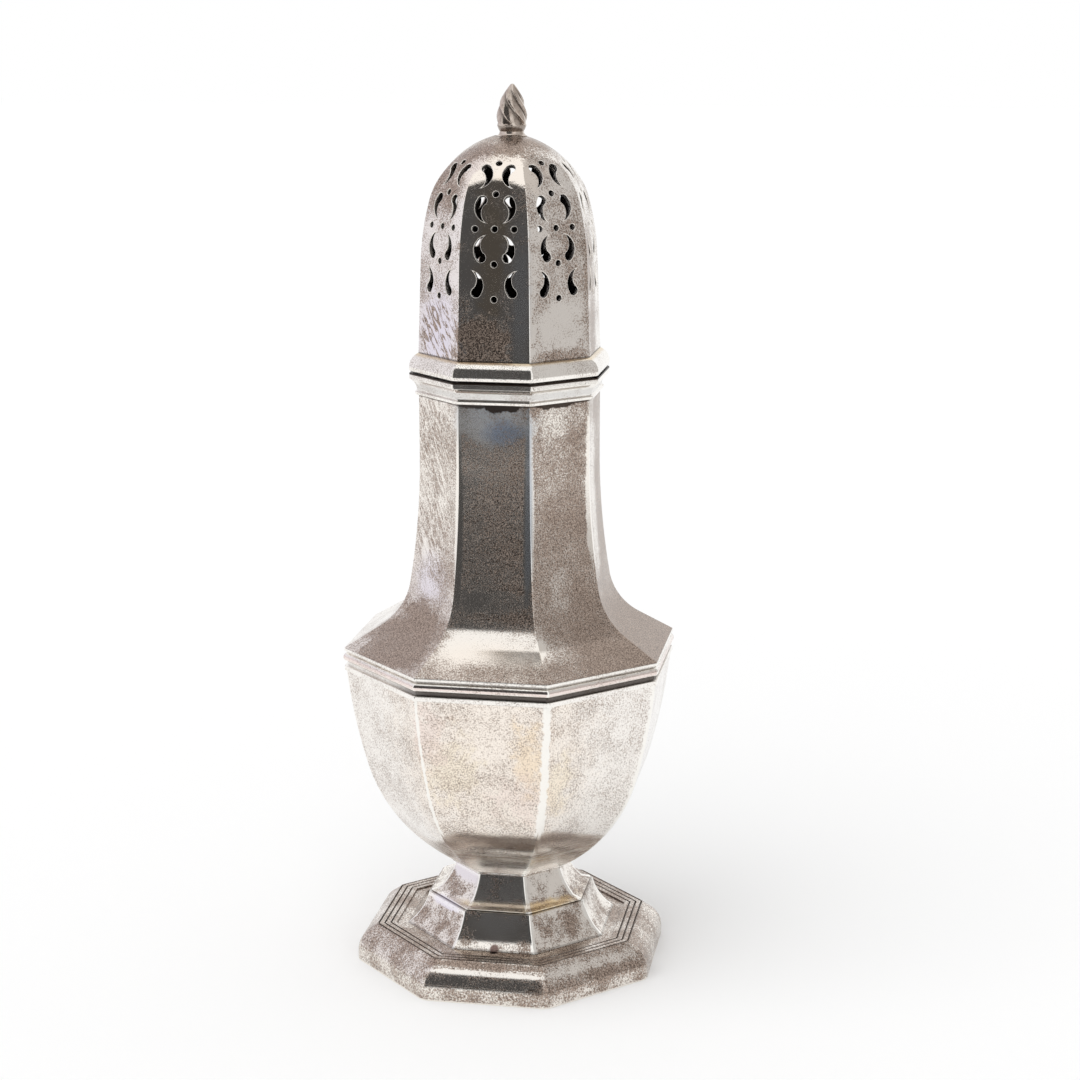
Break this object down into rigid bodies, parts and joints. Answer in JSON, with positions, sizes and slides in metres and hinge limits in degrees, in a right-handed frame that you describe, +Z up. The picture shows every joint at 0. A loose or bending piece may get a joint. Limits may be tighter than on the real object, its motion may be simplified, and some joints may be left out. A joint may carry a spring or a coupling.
{
  "type": "sugar caster",
  "caption": "Octagonal silver sugar caster: spreading foot, bellied bowl, tall neck and a pierced, domed cover with a flame finial that lifts off for filling.",
  "frame": {"origin": "centre of the face that the foot stands on", "axes": "+Z up along the axis of the octagon, with a flat of the octagon facing each of X and Y"},
  "size_m": [0.0636, 0.0636, 0.1779],
  "materials": {
    "body_silver": "polished sterling silver, tarnished and finely scratched",
    "cover_silver": "polished sterling silver, tarnished, with bright edges at the piercing",
    "bezel_silver": "plain silver with lengthwise wear where it slides in the neck",
    "finial_silver": "cast silver with tarnished hollows and bright ridges"
  },
  "bodies": {
    "body": {"foot_wire": "body_silver", "foot_flange": "body_silver", "foot_cove": "body_silver", "stem": "body_silver", "stem_collar": "body_silver", "bowl": "body_silver", "girdle": "body_silver", "shoulder_neck": "body_silver", "neck_moulding": "body_silver"},
    "cover": {"cover_bezel": "bezel_silver", "cover_rim": "cover_silver", "cover_dome": "cover_silver", "finial_collar": "finial_silver", "finial": "finial_silver"}
  },
  "joints": [
    {"name": "cover_lift", "type": "slide", "parent": "body", "child": "cover", "axis": [0, 0, 1], "range_m": [0, 0.06]}
  ]
}
